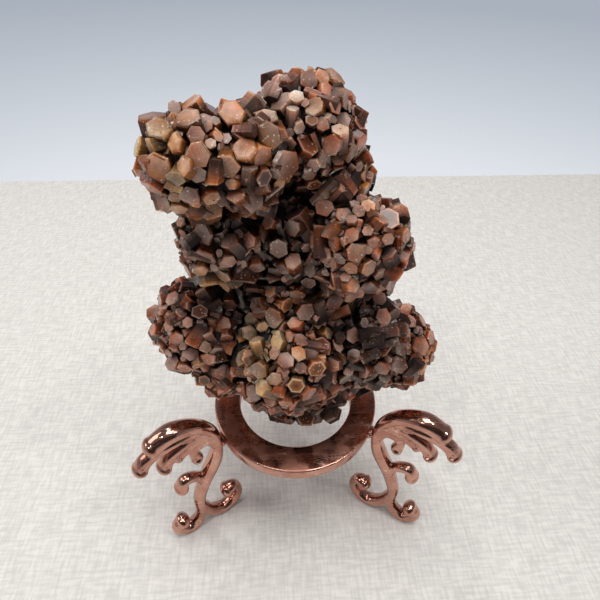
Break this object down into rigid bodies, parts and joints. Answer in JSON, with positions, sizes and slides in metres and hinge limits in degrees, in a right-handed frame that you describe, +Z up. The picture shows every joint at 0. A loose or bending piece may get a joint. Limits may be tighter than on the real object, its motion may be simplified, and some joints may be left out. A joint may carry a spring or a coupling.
{
  "type": "aragonite cluster on a ring stand",
  "caption": "Cluster of stubby six-sided brown and orange crystals resting in a ring stand with scrolled legs.",
  "frame": {"origin": "on the table, under the middle of the whole object's footprint", "axes": "+Z up, +X to the viewer's right, +Y away from the viewer"},
  "size_m": [0.066, 0.0576, 0.1011],
  "materials": {
    "aragonite": "glassy striated sides, matt ends",
    "rose_gold_plate": "polished plating"
  },
  "bodies": {
    "root": {"aragonite_cluster": "aragonite", "ring": "rose_gold_plate", "leg_left": "rose_gold_plate", "leg_right": "rose_gold_plate", "leg_back": "rose_gold_plate"}
  },
  "joints": []
}
